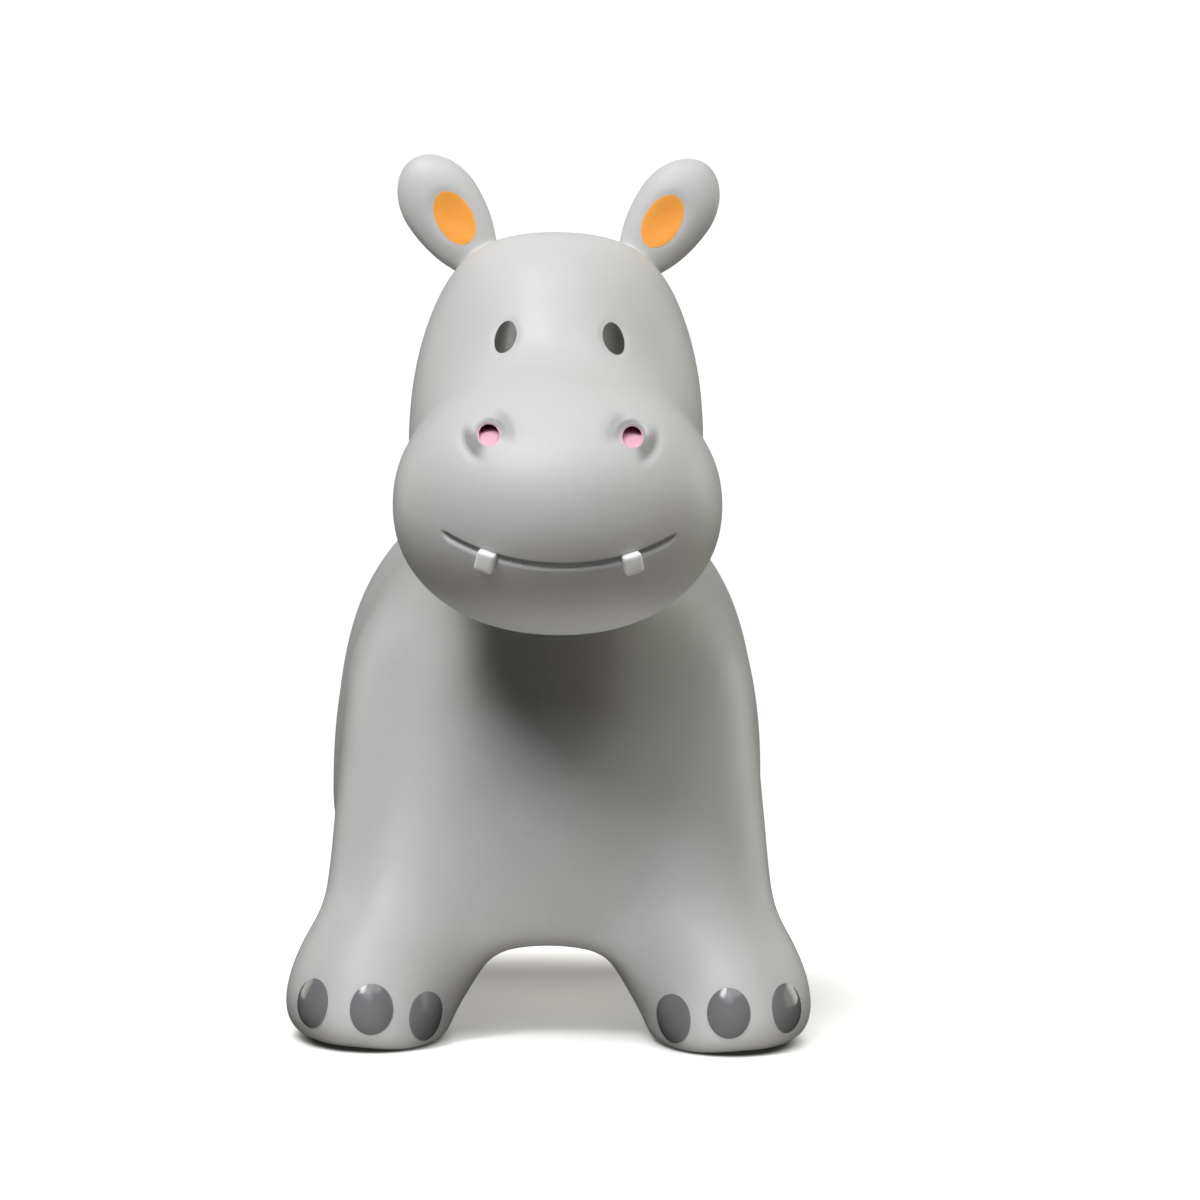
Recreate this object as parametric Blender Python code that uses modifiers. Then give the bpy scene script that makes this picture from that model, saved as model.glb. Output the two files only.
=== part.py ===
"""Animal hopper: a hollow inflatable sit-on toy in the form of a hippopotamus.

Metres, +Z up. The animal faces -Y and its left side is at +X. The origin is on the floor,
below the middle of the body. The skin is one surface, blended from simple rounded forms,
given its wall thickness and divided where the toy folds.
"""
import math

import bmesh
import bpy
from mathutils import Matrix, Vector
from mathutils.bvhtree import BVHTree

# ---------------------------------------------------------------- driving dimensions
WALL = 0.0024            # thickness of the soft skin
GAP = 0.0003             # clearance between pieces that touch
FACE_GAP = 0.00035       # clearance under the raised details

FOLD_LOW = 0.105         # height where the folding flank band starts
FOLD_HIGH = 0.172        # height where it ends
BOUNCE = 0.045           # how far the seat sinks under a child

# barrel, rump and chest: centre and half sizes
BARREL_C, BARREL_R = (0.0, 0.060, 0.172), (0.1325, 0.172, 0.131)
RUMP_C, RUMP_R = (0.0, 0.145, 0.181), (0.1225, 0.120, 0.129)
# chest: a low and a high ball with the skin drawn over both
CHEST_LOW, CHEST_LOW_R = (0.0, -0.074, 0.127), 0.0765
CHEST_HIGH, CHEST_HIGH_R = (0.0, -0.030, 0.160), 0.0885

# legs: thigh ball, ankle ball, foot pad (right-hand +X side; the other side is mirrored)
FRONT_THIGH, FRONT_THIGH_R = (0.0710, -0.048, 0.185), 0.0425
FRONT_ANKLE, FRONT_ANKLE_R = (0.0865, -0.118, 0.050), 0.0465
FRONT_FOOT, FRONT_FOOT_R = (0.1033, -0.131, 0.0167), (0.0480, 0.0605, 0.0560)
REAR_THIGH, REAR_THIGH_R = (0.056, 0.135, 0.140), 0.057
REAR_ANKLE, REAR_ANKLE_R = (0.0830, 0.160, 0.045), 0.042
REAR_FOOT, REAR_FOOT_R = (0.0960, 0.152, 0.022), (0.0390, 0.0600, 0.0460)

# head
SKULL_C, SKULL_R, SKULL_SQUARE = (0.0, -0.092, 0.345), (0.0865, 0.091, 0.113), 2.5
MUZZLE_C, MUZZLE_R, MUZZLE_SQUARE = (0.0, -0.182, 0.305), (0.0930, 0.0905, 0.0755), 2.2
NECK_TOP, NECK_TOP_R = (0.0, -0.077, 0.310), 0.047
NECK_LOW, NECK_LOW_R = (0.0, 0.020, 0.200), 0.098
NECK_CUT = (0.0, -0.130, 0.238)     # a point on the plane between head and body
NECK_CUT_TILT = 31.0                # degrees, the plane rises towards the back

TAIL_TOP, TAIL_TIP, TAIL_R = (0.0, 0.238, 0.236), (0.0, 0.263, 0.203), 0.0155

# ears
EAR_FOOT = (0.0455, -0.067, 0.4425)   # where the ear meets the skull, behind its crest
EAR_TILT = 26.0                       # degrees outward from upright
EAR_KNUCKLE_R = 0.0100                # round root, about the bending axis
EAR_KNUCKLE_HALF = 0.0065
EAR_CLEAR = 0.0022                    # from the skull to the round root
EAR_BLADE_AT = 0.0364                 # from the skull to the middle of the blade
EAR_BLADE_OUT = 0.0040
EAR_BLADE_R = (0.0212, 0.0118, 0.0245)
INNER_EAR_R = (0.0108, 0.0042, 0.0155)

# face details: x (mirrored), z, half width, half height, height above the skin, turn in degrees
EYE = (0.0298, 0.3968, 0.0070, 0.0130, 0.0016, 4.0)
NOSTRIL = (0.0383, 0.3455)
NOSTRIL_R = 0.0064
TOOTH = (0.0384, 0.2790, 0.0060, 0.0070, 0.0048)
NAIL_FRONT = ((0.1325, 0.0275, 0.0130, 0.0170), (0.0988, 0.0260, 0.0150, 0.0170), (0.0684, 0.0220, 0.0135, 0.0165))
NAIL_REAR = ((0.1205, 0.0285, 0.0110, 0.0155), (0.0950, 0.0265, 0.0125, 0.0155), (0.0705, 0.0240, 0.0105, 0.0150))
NAIL_RAISE = 0.0022

# air valve, in the middle of the belly
VALVE_XY = (0.0, 0.045)
VALVE_HOLE_R = 0.0090
SEAT_FLANGE_R = 0.0140
SEAT_BORE_R = 0.0052
PLUG_HEAD_R = 0.0098
PLUG_TRAVEL = 0.030

GREY = (0.515, 0.515, 0.505)
DARK_GREY = (0.165, 0.165, 0.170)
EYE_GREY = (0.062, 0.062, 0.060)
ORANGE = (1.0, 0.375, 0.055)
PINK = (0.91, 0.355, 0.480)
WHITE = (0.90, 0.90, 0.88)
VALVE_WHITE = (0.78, 0.78, 0.76)

# ---------------------------------------------------------------- scene
for old in list(bpy.data.objects):
    bpy.data.objects.remove(old, do_unlink=True)


def collection(name):
    c = bpy.data.collections.new(name)
    bpy.context.scene.collection.children.link(c)
    return c


PARTS = collection("animal_hopper")
CUTTERS = collection("animal_hopper_cutters")
CUTTERS.hide_render = True


def material(name, colour, rough):
    m = bpy.data.materials.new(name)
    m.use_nodes = True
    shader = m.node_tree.nodes["Principled BSDF"]
    shader.inputs["Base Color"].default_value = (*colour, 1.0)
    shader.inputs["Roughness"].default_value = rough
    shader.inputs["Metallic"].default_value = 0.0
    return m


def place(name, mesh, into, matrix=None):
    ob = bpy.data.objects.new(name, mesh)
    into.objects.link(ob)
    if matrix is not None:
        ob.matrix_world = matrix
    return ob


def part(name, mesh, colour, rough, matrix=None, parent=None):
    ob = place(name, mesh, PARTS)
    mesh.materials.clear()
    mesh.materials.append(material(name + "_finish", colour, rough))
    if parent is not None:
        ob.parent = parent
        ob.matrix_parent_inverse = Matrix.Identity(4)
    if matrix is not None:
        ob.matrix_local = matrix
    return ob


def cutter(name, mesh, matrix=None):
    ob = place(name, mesh, CUTTERS, matrix)
    ob.hide_render = True
    ob.display_type = "WIRE"
    return ob


def empty(name, matrix):
    ob = bpy.data.objects.new(name, None)
    ob.empty_display_size = 0.03
    PARTS.objects.link(ob)
    ob.matrix_world = matrix
    return ob


def to_mesh(bm, name, smooth=True):
    bmesh.ops.recalc_face_normals(bm, faces=bm.faces[:])
    me = bpy.data.meshes.new(name)
    bm.to_mesh(me)
    bm.free()
    if smooth:
        me.shade_smooth()
        me.set_sharp_from_angle(angle=math.radians(40))
    return me


def baked(ob, name):
    """The object's evaluated shape as a mesh of its own; the object is removed."""
    bpy.context.view_layer.update()
    deps = bpy.context.evaluated_depsgraph_get()
    me = bpy.data.meshes.new_from_object(ob.evaluated_get(deps))
    me.name = name
    me.transform(ob.matrix_world)
    bpy.data.objects.remove(ob, do_unlink=True)
    return me


def boolean(ob, other, kind):
    mod = ob.modifiers.new(kind.lower() + "_" + other.name, "BOOLEAN")
    mod.operation = kind
    mod.solver = "EXACT"
    mod.object = other
    return mod


# ---------------------------------------------------------------- simple forms
def ball(bm, centre, radii, turn=None, u=28, v=18, square=2.0):
    """A stretched ball. A square above 2 fills out its corners, as seen from the front."""
    rot = turn.to_4x4() if turn is not None else Matrix.Identity(4)
    verts = bmesh.ops.create_uvsphere(bm, u_segments=u, v_segments=v, radius=1.0)["verts"]
    if square != 2.0:
        for w in verts:
            full = (abs(w.co.x) ** square + abs(w.co.z) ** square) ** (1.0 / square)
            if full > 1e-6:
                fill = math.hypot(w.co.x, w.co.z) / full
                w.co.x, w.co.z = w.co.x * fill, w.co.z * fill
    m = Matrix.Translation(centre) @ rot @ Matrix.Diagonal((*radii, 1.0))
    bmesh.ops.transform(bm, matrix=m, verts=verts)
    return verts


def hull_of(bm, verts):
    """The convex wrap of a mesh's points, in place of its faces."""
    for f in bm.faces[:]:
        bm.faces.remove(f)
    for e in bm.edges[:]:
        bm.edges.remove(e)
    res = bmesh.ops.convex_hull(bm, input=verts)
    gone = {g for g in res["geom_interior"] + res["geom_unused"] if isinstance(g, bmesh.types.BMVert)}
    bmesh.ops.delete(bm, geom=list(gone), context="VERTS")


def limb(target, a, ra, b, rb):
    """A tapered limb with round ends, wrapped around two balls."""
    bm = bmesh.new()
    verts = ball(bm, a, (ra, ra, ra), u=20, v=12) + ball(bm, b, (rb, rb, rb), u=20, v=12)
    hull_of(bm, verts)
    me = bpy.data.meshes.new("limb")
    bm.to_mesh(me)
    bm.free()
    target.from_mesh(me)
    bpy.data.meshes.remove(me)


def mirrored(p):
    return (-p[0], p[1], p[2])


# ---------------------------------------------------------------- the whole skin, outside
def skin_outside():
    bm = bmesh.new()
    ball(bm, BARREL_C, BARREL_R)
    ball(bm, RUMP_C, RUMP_R)
    limb(bm, CHEST_LOW, CHEST_LOW_R, CHEST_HIGH, CHEST_HIGH_R)
    ball(bm, SKULL_C, SKULL_R, square=SKULL_SQUARE)
    ball(bm, MUZZLE_C, MUZZLE_R, square=MUZZLE_SQUARE)
    limb(bm, NECK_TOP, NECK_TOP_R, NECK_LOW, NECK_LOW_R)
    limb(bm, TAIL_TOP, TAIL_R, TAIL_TIP, TAIL_R * 0.85)
    for side in (lambda p: p, mirrored):
        limb(bm, side(FRONT_THIGH), FRONT_THIGH_R, side(FRONT_ANKLE), FRONT_ANKLE_R)
        ball(bm, side(FRONT_FOOT), FRONT_FOOT_R)
        limb(bm, side(REAR_THIGH), REAR_THIGH_R, side(REAR_ANKLE), REAR_ANKLE_R)
        ball(bm, side(REAR_FOOT), REAR_FOOT_R)
    ob = place("skin_form", to_mesh(bm, "skin_form"), CUTTERS)
    remesh = ob.modifiers.new("one_surface", "REMESH")
    remesh.mode = "VOXEL"
    remesh.voxel_size = 0.006
    soften = ob.modifiers.new("soften", "SMOOTH")
    soften.factor = 0.5
    soften.iterations = 20
    both = ob.modifiers.new("both_sides", "MIRROR")
    both.use_axis = (True, False, False)
    both.use_bisect_axis = (True, False, False)
    both.use_mirror_merge = True
    both.merge_threshold = 0.0001
    both.bisect_threshold = 0.00001
    thin = ob.modifiers.new("thin_out", "DECIMATE")
    thin.decimate_type = "COLLAPSE"
    thin.ratio = 0.050
    thin.use_collapse_triangulate = True
    thin.use_symmetry = True
    thin.symmetry_axis = "X"
    form = place("skin_form_thinned", baked(ob, "skin_form_thinned"), CUTTERS)
    # the soles are flat on the floor
    bm = bmesh.new()
    bmesh.ops.create_cube(bm, size=1.0, matrix=Matrix.Translation((0, 0, -0.1)) @ Matrix.Diagonal((1, 1, 0.2, 1)))
    floor = cutter("below_floor", to_mesh(bm, "below_floor", False))
    boolean(form, floor, "DIFFERENCE")
    return baked(form, "skin_outside")


OUTSIDE = skin_outside()
_bm = bmesh.new()
_bm.from_mesh(OUTSIDE)
SURFACE = BVHTree.FromBMesh(_bm)


def on_skin(x, z, y_from=-1.0, direction=(0, 1, 0)):
    """Where a line from the front meets the skin, and the skin's direction there."""
    spot, normal, _, _ = SURFACE.ray_cast(Vector((x, y_from, z)), Vector(direction))
    return spot, normal


# a copy of the outside, a hair larger, trims whatever sits on the skin
trim_skin = cutter("skin_trim", OUTSIDE.copy())
grow = trim_skin.modifiers.new("grow", "DISPLACE")
grow.strength = FACE_GAP
grow.mid_level = 0.0


# ---------------------------------------------------------------- skin zones
def box_mesh(name, low, high):
    bm = bmesh.new()
    low, high = Vector(low), Vector(high)
    bmesh.ops.create_cube(bm, size=1.0, matrix=Matrix.Translation((low + high) / 2) @ Matrix.Diagonal((*(high - low), 1.0)))
    return to_mesh(bm, name, False)


NECK_FRAME = Matrix.Translation(NECK_CUT) @ Matrix.Rotation(math.radians(NECK_CUT_TILT), 4, "X")
lower_zone = cutter("lower_zone", box_mesh("lower_zone", (-0.4, -0.6, -0.2), (0.4, 0.6, FOLD_LOW - GAP / 2)))
flank_zone = cutter("flank_zone", box_mesh("flank_zone", (-0.4, -0.6, FOLD_LOW + GAP / 2), (0.4, 0.6, FOLD_HIGH - GAP / 2)))
upper_zone = cutter("upper_zone", box_mesh("upper_zone", (-0.4, -0.6, FOLD_HIGH + GAP / 2), (0.4, 0.6, 0.8)))
head_zone = cutter("head_zone", box_mesh("head_zone", (-0.4, -0.4, GAP / 2), (0.4, 0.6, 0.6)), NECK_FRAME)
head_out = cutter("head_out", box_mesh("head_out", (-0.4, -0.4, -GAP / 2), (0.4, 0.6, 0.6)), NECK_FRAME)


def skin_zone(name, keep, drop=()):
    me = OUTSIDE.copy()
    me.name = name
    ob = part(name, me, GREY, 0.5)
    wall = ob.modifiers.new("wall", "SOLIDIFY")
    wall.thickness = WALL
    wall.offset = -1.0
    wall.use_even_offset = True
    wall.use_quality_normals = True
    boolean(ob, keep, "INTERSECT")
    for d in drop:
        boolean(ob, d, "DIFFERENCE")
    return ob


# ---------------------------------------------------------------- air valve
spot = SURFACE.ray_cast(Vector((*VALVE_XY, -1.0)), Vector((0, 0, 1)))[0]
BELLY_Z = spot.z
VALVE_AT = Matrix.Translation((VALVE_XY[0], VALVE_XY[1], BELLY_Z))


def turned(name, profile, steps=24):
    """A turned piece: the profile is (radius, height) from top to bottom on the outer side."""
    bm = bmesh.new()
    verts = [bm.verts.new((r, 0.0, z)) for r, z in profile]
    for a, b in zip(verts, verts[1:]):
        bm.edges.new((a, b))
    if profile[0][0] > 1e-6:
        bm.edges.new((verts[-1], verts[0]))
    me = bpy.data.meshes.new(name)
    bm.to_mesh(me)
    bm.free()
    ob = place(name + "_profile", me, CUTTERS)
    turn = ob.modifiers.new("turn", "SCREW")
    turn.axis = "Z"
    turn.angle = 2 * math.pi
    turn.steps = steps
    turn.render_steps = steps
    turn.use_merge_vertices = True
    turn.merge_threshold = 0.00005
    turn.use_smooth_shade = True
    me = baked(ob, name)
    bm = bmesh.new()
    bm.from_mesh(me)
    bmesh.ops.remove_doubles(bm, verts=bm.verts[:], dist=0.00002)
    bmesh.ops.recalc_face_normals(bm, faces=bm.faces[:])
    bm.to_mesh(me)
    bm.free()
    me.shade_smooth()
    me.set_sharp_from_angle(angle=math.radians(35))
    return me


bm = bmesh.new()
bmesh.ops.create_cone(bm, cap_ends=True, segments=32, radius1=VALVE_HOLE_R, radius2=VALVE_HOLE_R, depth=0.04)
valve_hole = cutter("valve_hole", to_mesh(bm, "valve_hole"), VALVE_AT)

lower = skin_zone("lower_body_skin", lower_zone, (valve_hole,))
skin_zone("flank_skin", flank_zone)
skin_zone("upper_body_skin", upper_zone, (head_out,))

# seat: a flange under the belly, a neck through the skin and a collar inside
seat = turned("valve_seat", (
    (SEAT_BORE_R, 0.0095), (SEAT_FLANGE_R * 0.80, 0.0095), (SEAT_FLANGE_R * 0.84, 0.0088),
    (SEAT_FLANGE_R * 0.84, WALL + 0.0022), (VALVE_HOLE_R - GAP, WALL + 0.0018), (VALVE_HOLE_R - GAP, -0.0008),
    (SEAT_FLANGE_R, -0.0012), (SEAT_FLANGE_R, -0.0022), (SEAT_FLANGE_R * 0.93, -0.0028), (SEAT_BORE_R, -0.0028),
))
part("valve_seat", seat, VALVE_WHITE, 0.4, VALVE_AT)

plug_root = empty("valve_plug_axis", VALVE_AT)
plug = turned("valve_plug", (
    (0.0, 0.0135), (0.0034, 0.0132), (0.0041, 0.0122), (SEAT_BORE_R - GAP, 0.0010), (SEAT_BORE_R - GAP, -0.0031),
    (PLUG_HEAD_R * 0.94, -0.0032), (PLUG_HEAD_R, -0.0040), (PLUG_HEAD_R, -0.0056), (PLUG_HEAD_R * 0.9, -0.0064),
    (0.0, -0.0066),
))
plug_ob = place("valve_plug_body", plug, CUTTERS)
# a flat pull tab with rounded end on one side of the stopper's head
bm = bmesh.new()
bmesh.ops.create_cone(bm, cap_ends=True, segments=20, radius1=0.0062, radius2=0.0062, depth=0.0018,
                      matrix=Matrix.Translation((0, 0.0145, -0.0052)))
ball(bm, (0, 0.006, -0.0052), (0.005, 0.003, 0.0009), u=10, v=6)
hull_of(bm, bm.verts[:])
tab = cutter("plug_tab", to_mesh(bm, "plug_tab"))
boolean(plug_ob, tab, "UNION")
part("valve_plug", baked(plug_ob, "valve_plug"), VALVE_WHITE, 0.4, Matrix.Identity(4), plug_root)

# ---------------------------------------------------------------- head, with its nostril holes
head_cuts = []
nostril_frames = {}
for label, sx in (("left", 1), ("right", -1)):
    p, n = on_skin(sx * NOSTRIL[0], NOSTRIL[1])
    frame = Matrix.Translation(p) @ n.to_track_quat("Z", "Y").to_matrix().to_4x4()
    nostril_frames[label] = frame
    bm = bmesh.new()
    bmesh.ops.create_cone(bm, cap_ends=True, segments=24, radius1=NOSTRIL_R + GAP, radius2=NOSTRIL_R + GAP, depth=0.03)
    head_cuts.append(cutter(label + "_nostril_hole", to_mesh(bm, label + "_nostril_hole"), frame))
skin_zone("head_skin", head_zone, head_cuts)
for label in ("left", "right"):
    cup = turned(label + "_nostril", (
        (0.0, -0.0040), (NOSTRIL_R * 0.55, -0.0036), (NOSTRIL_R * 0.80, -0.0022), (NOSTRIL_R * 0.94, -0.0004),
        (NOSTRIL_R, -0.0006), (NOSTRIL_R, -0.0040), (NOSTRIL_R * 0.75, -0.0062), (0.0, -0.0066),
    ), 20)
    part(label + "_nostril", cup, PINK, 0.5, nostril_frames[label])


# ---------------------------------------------------------------- raised details
def raised(name, spot, normal, half_w, half_h, height, turn, colour, rough, bend):
    """A domed oval lying on the skin: a flattened ball, trimmed by the skin.

    bend is how far the skin falls away from the middle of the oval to its edge.
    """
    up = Vector((0, 0, 1))
    side = up.cross(normal).normalized()
    up = normal.cross(side).normalized()
    rot = Matrix((side, up, normal)).transposed() @ Matrix.Rotation(math.radians(turn), 3, "Z")
    bm = bmesh.new()
    over = 1.12
    depth = (height + bend) / (1.0 - math.sqrt(1.0 - 1.0 / over ** 2))
    ball(bm, spot + normal * (height - depth), (half_w * over, half_h * over, depth), rot, 14, 10)
    ob = part(name, to_mesh(bm, name), colour, rough)
    boolean(ob, trim_skin, "DIFFERENCE")
    return ob


for label, sx in (("left", 1), ("right", -1)):
    p, n = on_skin(sx * EYE[0], EYE[1])
    raised(label + "_eye", p, n, EYE[2], EYE[3], EYE[4], sx * EYE[5], EYE_GREY, 0.2, 0.0005)

for label, sx in (("left", 1), ("right", -1)):
    p, n = on_skin(sx * TOOTH[0], TOOTH[1])
    n = Vector((n.x, n.y, 0)).normalized()
    side = Vector((0, 0, 1)).cross(n).normalized()
    rot = Matrix((side, Vector((0, 0, 1)), n)).transposed().to_4x4()
    bm = bmesh.new()
    bmesh.ops.create_cube(bm, size=1.0, matrix=Matrix.Translation(p + n * (TOOTH[4] - 0.010)) @ rot @ Matrix.Diagonal((TOOTH[2] * 2, TOOTH[3] * 2, 0.020, 1)))
    ob = part(label + "_tooth", to_mesh(bm, label + "_tooth", False), WHITE, 0.3)
    edge = ob.modifiers.new("rounded", "BEVEL")
    edge.width = 0.0016
    edge.segments = 2
    boolean(ob, trim_skin, "DIFFERENCE")

for foot, nails, y_from in (("front", NAIL_FRONT, -1.0), ("rear", NAIL_REAR, 0.035)):
    for label, sx in (("left", 1), ("right", -1)):
        for i, (x, z, hw, hh) in enumerate(nails):
            p, n = on_skin(sx * x, z, y_from)
            raised("%s_%s_toenail_%d" % (foot, label, i + 1), p, n, hw, hh, NAIL_RAISE, 0.0, DARK_GREY, 0.25, 0.0032)

# ---------------------------------------------------------------- ears
for label, sx in (("left", 1), ("right", -1)):
    t = math.radians(EAR_TILT)
    up = Vector((sx * math.sin(t), 0.0, math.cos(t)))
    across = Vector((math.cos(t), 0.0, -sx * math.sin(t)))
    rot = Matrix((across, up.cross(across), up)).transposed()
    hit = SURFACE.ray_cast(Vector((sx * EAR_FOOT[0], EAR_FOOT[1], EAR_FOOT[2])) + up * 0.3, -up)
    axis = hit[0] + up * (EAR_KNUCKLE_R + EAR_CLEAR)
    root = empty(label + "_ear_axis", Matrix.Translation(axis) @ rot.to_4x4())
    # in the ear's own frame: X along the bending axis, Z up the ear
    bm = bmesh.new()
    r = EAR_KNUCKLE_R
    verts = []
    for end in (-EAR_KNUCKLE_HALF, EAR_KNUCKLE_HALF):
        verts += ball(bm, (end, 0, 0), (r * 0.9, r, r), Matrix.Rotation(math.pi / 2, 3, "Y"), 16, 8)
    verts += ball(bm, (EAR_BLADE_OUT * sx, 0.0, EAR_BLADE_AT - r), EAR_BLADE_R, None, 18, 12)
    hull_of(bm, verts)
    bmesh.ops.dissolve_limit(bm, angle_limit=math.radians(0.5), verts=bm.verts[:], edges=bm.edges[:])
    ear_mesh = to_mesh(bm, label + "_ear")
    part(label + "_ear", ear_mesh, GREY, 0.5, Matrix.Identity(4), root)
    # the coloured patch on the front of the ear, trimmed by a slightly larger copy of it
    trim = cutter(label + "_ear_trim", ear_mesh.copy())
    trim.parent = root
    grow = trim.modifiers.new("grow", "DISPLACE")
    grow.strength = FACE_GAP
    grow.mid_level = 0.0
    bm = bmesh.new()
    front = -EAR_BLADE_R[1]
    ball(bm, (EAR_BLADE_OUT * sx, front + INNER_EAR_R[1] - 0.0016, EAR_BLADE_AT - r - 0.006),
         (INNER_EAR_R[0] * 1.25, INNER_EAR_R[1], INNER_EAR_R[2] * 1.25), None, 18, 12)
    patch = part(label + "_inner_ear", to_mesh(bm, label + "_inner_ear"), ORANGE, 0.45, Matrix.Identity(4), root)
    boolean(patch, trim, "DIFFERENCE")

_bm.free()
bpy.context.view_layer.update()
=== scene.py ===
"""Looks of the animal hopper: a soft vinyl skin blown in one mould, with painted relief.

Metres, +Z up. The animal faces -Y and its left side is at +X. The skin is a single
continuous surface, described by blended rounded forms with the mouth, the nostril dishes
and the eye hollows pressed into it; ears, eyes, nostrils, teeth and toenails sit on it.
"""

import math

import bmesh
import bpy
import numpy as np
from mathutils import Matrix, Vector


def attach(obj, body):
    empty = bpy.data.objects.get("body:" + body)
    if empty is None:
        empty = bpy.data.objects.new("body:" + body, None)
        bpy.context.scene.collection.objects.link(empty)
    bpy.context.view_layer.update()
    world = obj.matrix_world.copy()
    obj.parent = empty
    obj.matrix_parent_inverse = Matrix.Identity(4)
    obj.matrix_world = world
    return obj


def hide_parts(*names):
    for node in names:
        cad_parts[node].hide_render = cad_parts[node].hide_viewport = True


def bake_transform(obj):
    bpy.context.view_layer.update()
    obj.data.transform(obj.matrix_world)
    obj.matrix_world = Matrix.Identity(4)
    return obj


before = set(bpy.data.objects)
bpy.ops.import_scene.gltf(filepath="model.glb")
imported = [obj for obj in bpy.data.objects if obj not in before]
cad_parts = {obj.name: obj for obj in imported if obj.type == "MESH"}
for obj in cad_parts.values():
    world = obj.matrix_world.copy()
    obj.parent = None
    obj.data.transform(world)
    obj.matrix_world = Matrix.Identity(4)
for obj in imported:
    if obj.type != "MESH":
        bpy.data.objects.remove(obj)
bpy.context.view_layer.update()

MM = 0.001


# ---------------------------------------------------------------- rounded forms
def smin(a, b, k):
    """The joint of two forms with a soft fillet of width k."""
    h = np.maximum(k - np.abs(a - b), 0.0) / k
    return np.minimum(a, b) - h * h * h * k / 6.0


def smax(a, b, k):
    return -smin(-a, -b, k)


def step(a, b, t):
    """0 before a, 1 after b, smooth between; a may be the larger."""
    u = np.clip((t - a) / (b - a), 0.0, 1.0)
    return u * u * (3.0 - 2.0 * u)


def oval(p, c, r, n=2.0, turn=None):
    """A stretched ball; n above 2 fills out the corners of its front view."""
    q = p - np.asarray(c, float)
    if turn is not None:
        q = q @ turn
    r = np.asarray(r, float)
    u = np.abs(q / r) + 1e-9
    s = (u[..., 0] ** n + u[..., 2] ** n) ** (1.0 / n)
    k0 = np.sqrt(s * s + u[..., 1] ** 2)
    d = s ** (1.0 - n)
    gx = s / k0 * d * u[..., 0] ** (n - 1.0) / r[0]
    gz = s / k0 * d * u[..., 2] ** (n - 1.0) / r[2]
    gy = u[..., 1] / k0 / r[1]
    return (k0 - 1.0) / np.maximum(np.sqrt(gx * gx + gy * gy + gz * gz), 1e-6)


def limb(p, a, b, ra, rb):
    """A tapered limb with round ends."""
    a, b = np.asarray(a, float), np.asarray(b, float)
    ba = b - a
    l2 = ba @ ba
    rr = ra - rb
    a2 = l2 - rr * rr
    pa = p - a
    y = pa @ ba
    z = y - l2
    x2 = ((pa * l2 - ba * y[..., None]) ** 2).sum(-1)
    y2, z2 = y * y * l2, z * z * l2
    k = np.sign(rr) * rr * rr * x2
    far, near = np.sign(z) * a2 * z2 > k, np.sign(y) * a2 * y2 < k
    side = (np.sqrt(x2 * a2 / l2) + y * rr) / l2 - ra
    return np.where(far, np.sqrt(x2 + z2) / l2 - rb, np.where(near, np.sqrt(x2 + y2) / l2 - ra, side))


def mirrored(p):
    q = p.copy()
    q[..., 0] = np.abs(q[..., 0])
    return q


def turn_y(deg):
    t = math.radians(deg)
    c, s = math.cos(t), math.sin(t)
    return np.array([[c, 0, s], [0, 1, 0], [-s, 0, c]])


# ---------------------------------------------------------------- the animal's form
BARREL = ((0, 0.060, 0.1230), (0.1305, 0.170, 0.0925), 2.40)
BARREL_UP = 0.1689
BELLY, BELLY_SOFT = 0.0441, 0.040
RUMP = ((0, 0.145, 0.1852), (0.1219, 0.118, 0.1212))
CHEST = ((0, -0.045, 0.095), (0.100, 0.104, 0.150))
ARCH, ARCH_SOFT = 0.0537, 0.016
FRONT_LEG = ((0.0709, -0.045, 0.185), (0.0865, -0.118, 0.050), 0.0405, 0.0448)
FRONT_FOOT = ((0.1033, -0.130, 0.0167), (0.0460, 0.058, 0.0547))
REAR_LEG = ((0.0560, 0.135, 0.140), (0.0830, 0.160, 0.045), 0.0550, 0.0400)
REAR_FOOT = ((0.0960, 0.152, 0.022), (0.0370, 0.058, 0.044))
LEG_SOFT = 0.0553
SHOULDER = ((0.0765, -0.008, 0.195), (0.0825, -0.040, 0.110), 0.0325, 0.0310)
TAIL = ((0, 0.245, 0.232), (0, 0.268, 0.200), 0.011, 0.010)
NECK = ((0, -0.075, 0.310), (0, 0.020, 0.200), 0.0400, 0.0962)
SKULL = ((0, -0.092, 0.3434), (0.0836, 0.088, 0.1295), 2.00)
SKULL_DOWN = 0.085
CROWN, CROWN_SOFT = 0.4595, 0.0449
MUZZLE = ((0, -0.182, 0.3059), (0.0906, 0.088, 0.0713), 2.14)
SOLE_ROUND_IN, SOLE_ROUND_OUT = 0.011, 0.0335
VALVE = (0.0, 0.045)
BOSS_Z = 0.0418


def barrel_form(p):
    """The trunk: taller above its widest level than below, with a flattened belly."""
    q = p - np.asarray(BARREL[0])
    q[..., 2] /= np.where(q[..., 2] > 0, BARREL_UP / BARREL[1][2], 1.0)
    return smax(oval(q, (0, 0, 0), *BARREL[1:]), BELLY - p[..., 2], BELLY_SOFT)


def head_form(p):
    """Skull and muzzle; the skull is shallow below its middle, where the throat goes in."""
    q = p - np.asarray(SKULL[0])
    q[..., 2] /= np.where(q[..., 2] < 0, SKULL_DOWN / SKULL[1][2], 1.0)
    skull = smax(oval(q, (0, 0, 0), *SKULL[1:]), p[..., 2] - CROWN, CROWN_SOFT)
    return smin(skull, oval(p, *MUZZLE), 0.055)


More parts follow.
